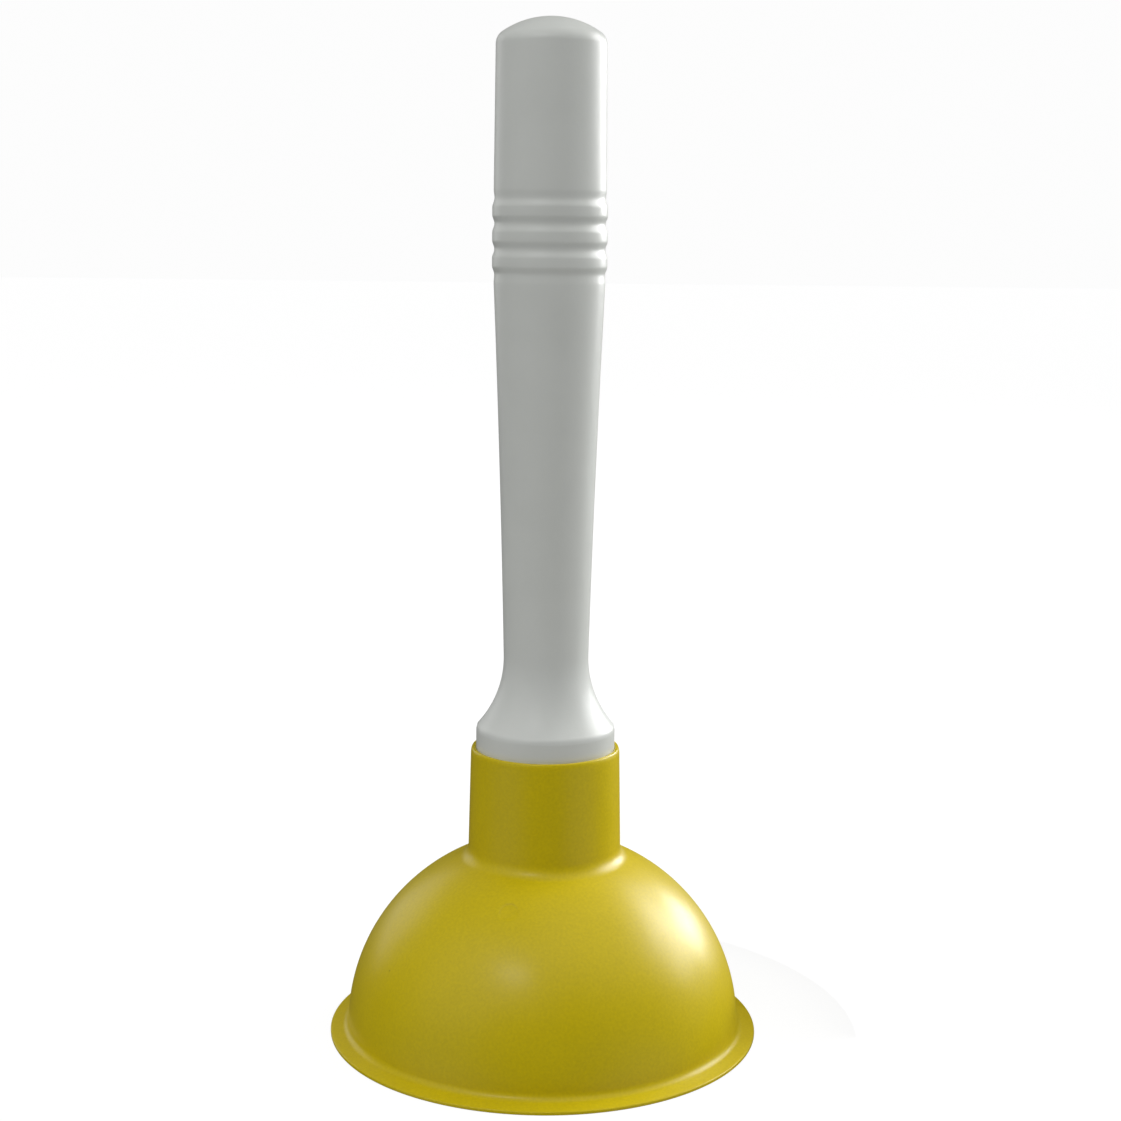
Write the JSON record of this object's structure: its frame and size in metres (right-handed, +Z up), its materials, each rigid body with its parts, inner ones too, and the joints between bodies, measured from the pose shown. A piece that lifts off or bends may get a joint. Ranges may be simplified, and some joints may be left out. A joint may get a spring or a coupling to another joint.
{
  "type": "sink plunger",
  "caption": "Small sink plunger: a flanged yellow rubber force cup on a tapered, hollow white handle with a beaded grip.",
  "frame": {"origin": "centre of the cup's rim, on the plane that the rim stands on", "axes": "+Z up along the plunger's axis, from the rim to the crown of the handle; the object is round, so +X and +Y are any two directions square to it"},
  "size_m": [0.115, 0.115, 0.2669],
  "materials": {
    "yellow_rubber": "semi-matte moulded rubber",
    "white_plastic": "satin blow-moulded plastic",
    "plug_plastic": "matte moulded plastic",
    "zinc_steel": "bright zinc plating"
  },
  "bodies": {
    "cup": {"rubber_cup": "yellow_rubber"},
    "handle": {"handle_shell": "white_plastic", "base_plug": "plug_plastic", "clamp_washer": "zinc_steel", "fixing_screw": "zinc_steel"}
  },
  "joints": [
    {"name": "plunge", "type": "slide", "parent": "cup", "child": "handle", "axis": [0, 0, 1], "range_m": [-0.025, 0], "stiffness_N_per_m": 2500, "springref_m": 0.0005, "deforming": ["rubber_cup"]}
  ]
}
